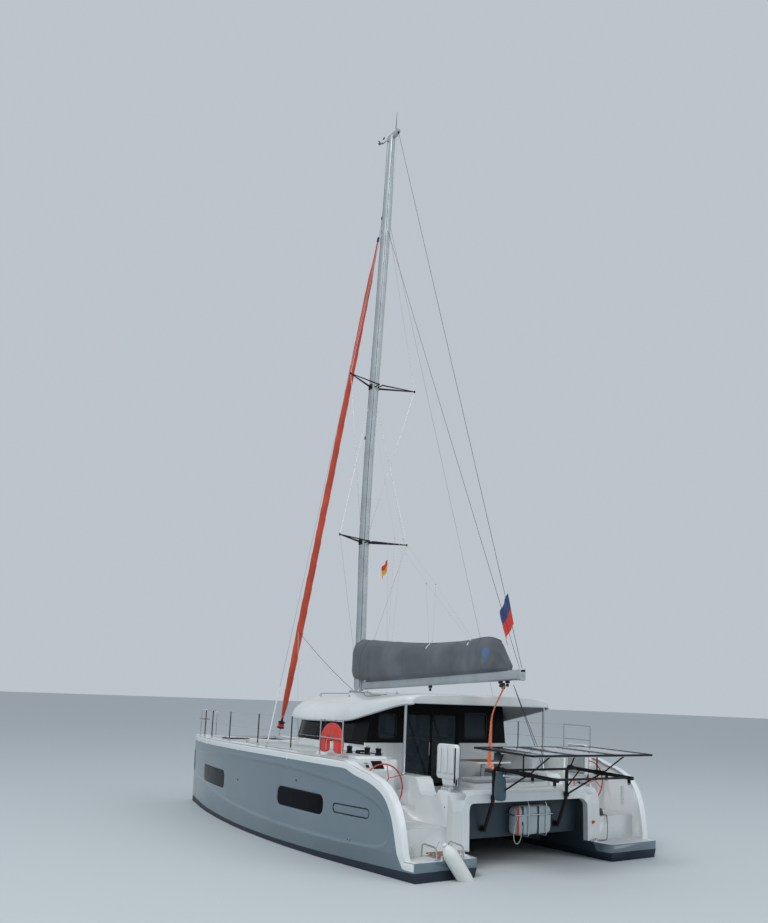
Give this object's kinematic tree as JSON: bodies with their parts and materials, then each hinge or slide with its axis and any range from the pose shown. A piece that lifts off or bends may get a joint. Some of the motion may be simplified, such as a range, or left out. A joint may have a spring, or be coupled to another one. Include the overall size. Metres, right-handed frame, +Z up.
{
  "type": "sailing catamaran",
  "caption": "Cruising sailing catamaran afloat with stowed mainsail, furled headsail, twin aft helms and stern davits.",
  "frame": {"origin": "on the waterline plane, on the centreline, midway between stems and transoms", "axes": "+X to the bows, +Y to port, +Z up along the mast"},
  "size_m": [12.4655, 6.578, 19.3903],
  "materials": {
    "gelcoat_topsides": "gloss",
    "gelcoat_white": "gloss",
    "antifouling": "matt",
    "dark_glass": "tinted",
    "dark_frame": "satin",
    "aluminium_spar": "anodised",
    "stainless": "polished",
    "bronze": "satin",
    "canvas_grey": "woven",
    "sailcloth": "woven",
    "netting": "open net",
    "buoy_red": "woven",
    "wheel_red": "gloss",
    "solar_cells": "glossy",
    "engine_grey": "painted",
    "fender_white": "matt",
    "seat_vinyl": "satin"
  },
  "bodies": {
    "boat": {"hull_port": "gelcoat_topsides", "hull_starboard": "gelcoat_topsides", "keel_port": "antifouling", "keel_starboard": "antifouling", "saildrive_port": "antifouling", "saildrive_starboard": "antifouling", "engine_port": "engine_grey", "engine_starboard": "engine_grey", "bridgedeck": "gelcoat_white", "cabin_coaming": "gelcoat_white", "saloon_glass": "dark_glass", "aft_bulkhead": "dark_frame", "door_pane_fixed": "dark_glass", "roof": "gelcoat_white", "roof_post_port": "stainless", "roof_post_starboard": "stainless", "saloon_furniture": "gelcoat_white", "mast": "aluminium_spar", "spreaders_lower": "aluminium_spar", "spreaders_upper": "aluminium_spar", "shroud_port": "stainless", "shroud_starboard": "stainless", "furled_jib": "sailcloth", "sail_bag_collar": "canvas_grey", "helm_pod_port": "gelcoat_white", "helm_pod_starboard": "gelcoat_white", "davits": "dark_frame", "solar_panel": "solar_cells", "life_raft": "gelcoat_white", "fender": "fender_white", "hand_hoop_inboard": "stainless", "hand_hoop_outboard": "stainless", "lifebuoy": "buoy_red", "guard_rail_port": "stainless", "guard_rail_starboard": "stainless", "crossbeam": "aluminium_spar", "longeron": "gelcoat_white", "trampoline_port": "netting", "trampoline_starboard": "netting", "cockpit_bench": "gelcoat_white", "cockpit_table": "gelcoat_white"},
    "boom": {"boom": "aluminium_spar", "sail_bag": "canvas_grey"},
    "sliding_door": {"sliding_door": "dark_glass"},
    "swim_ladder": {"swim_ladder": "stainless"},
    "rudder_port": {"rudder_port": "antifouling"},
    "helm_wheel_port": {"helm_wheel_port": "wheel_red"},
    "propeller_port": {"propeller_port": "bronze"},
    "engine_lid_port": {"engine_lid_port": "gelcoat_white"},
    "deck_hatch_port": {"deck_hatch_port": "dark_frame"},
    "helm_seat_port": {"helm_seat_port": "seat_vinyl"},
    "rudder_starboard": {"rudder_starboard": "antifouling"},
    "helm_wheel_starboard": {"helm_wheel_starboard": "wheel_red"},
    "propeller_starboard": {"propeller_starboard": "bronze"},
    "engine_lid_starboard": {"engine_lid_starboard": "gelcoat_white"},
    "deck_hatch_starboard": {"deck_hatch_starboard": "dark_frame"},
    "helm_seat_starboard": {"helm_seat_starboard": "seat_vinyl"}
  },
  "joints": [
    {"name": "boom_swing", "type": "hinge", "parent": "boat", "child": "boom", "pos_m": [0.74, 0, 3.15], "axis": [0, 0, 1], "range_deg": [-58, 58]},
    {"name": "rudder_turn_port", "type": "hinge", "parent": "boat", "child": "rudder_port", "pos_m": [-5.15, 2.262, -0.3], "axis": [0, 0, 1], "range_deg": [-35, 35]},
    {"name": "rudder_turn_starboard", "type": "hinge", "parent": "boat", "child": "rudder_starboard", "pos_m": [-5.15, -2.262, -0.3], "axis": [0, 0, 1], "range_deg": [-35, 35]},
    {"name": "wheel_turn_port", "type": "hinge", "parent": "boat", "child": "helm_wheel_port", "pos_m": [-4.19, 2.57, 1.3], "axis": [1, 0, 0], "range_deg": [-450, 450]},
    {"name": "wheel_turn_starboard", "type": "hinge", "parent": "boat", "child": "helm_wheel_starboard", "pos_m": [-4.19, -2.57, 1.3], "axis": [1, 0, 0], "range_deg": [-450, 450]},
    {"name": "propeller_spin_port", "type": "hinge", "parent": "boat", "child": "propeller_port", "pos_m": [-4.56, 2.262, -0.8], "axis": [1, 0, 0], "continuous": true},
    {"name": "propeller_spin_starboard", "type": "hinge", "parent": "boat", "child": "propeller_starboard", "pos_m": [-4.56, -2.262, -0.8], "axis": [1, 0, 0], "continuous": true},
    {"name": "door_slide", "type": "slide", "parent": "boat", "child": "sliding_door", "axis": [0, -1, 0], "range_m": [0, 0.66]},
    {"name": "engine_lid_hinge_port", "type": "hinge", "parent": "boat", "child": "engine_lid_port", "pos_m": [-4.324, 2.33, 0.736], "axis": [0, 1, 0], "range_deg": [0, 70]},
    {"name": "deck_hatch_hinge_port", "type": "hinge", "parent": "boat", "child": "deck_hatch_port", "pos_m": [3.246, 2.225, 1.784], "axis": [0, 1, 0], "range_deg": [0, 60]},
    {"name": "helm_seat_fold_port", "type": "hinge", "parent": "boat", "child": "helm_seat_port", "pos_m": [-4.93, 1.745, 1.348], "axis": [-1, 0, 0], "range_deg": [0, 88]},
    {"name": "engine_lid_hinge_starboard", "type": "hinge", "parent": "boat", "child": "engine_lid_starboard", "pos_m": [-4.324, -2.33, 0.736], "axis": [0, 1, 0], "range_deg": [0, 70]},
    {"name": "deck_hatch_hinge_starboard", "type": "hinge", "parent": "boat", "child": "deck_hatch_starboard", "pos_m": [3.246, -2.225, 1.784], "axis": [0, 1, 0], "range_deg": [0, 60]},
    {"name": "helm_seat_fold_starboard", "type": "hinge", "parent": "boat", "child": "helm_seat_starboard", "pos_m": [-4.93, -1.745, 1.348], "axis": [1, 0, 0], "range_deg": [0, 88]},
    {"name": "ladder_lift", "type": "hinge", "parent": "boat", "child": "swim_ladder", "pos_m": [-5.636, 2.13, 0.355], "axis": [0, -1, 0], "range_deg": [0, 80]}
  ],
  "couplings": [
    {"joint": "wheel_turn_port", "follows": "rudder_turn_port", "ratio": 12.857},
    {"joint": "wheel_turn_starboard", "follows": "rudder_turn_port", "ratio": 12.857},
    {"joint": "rudder_turn_starboard", "follows": "rudder_turn_port", "ratio": 1}
  ]
}
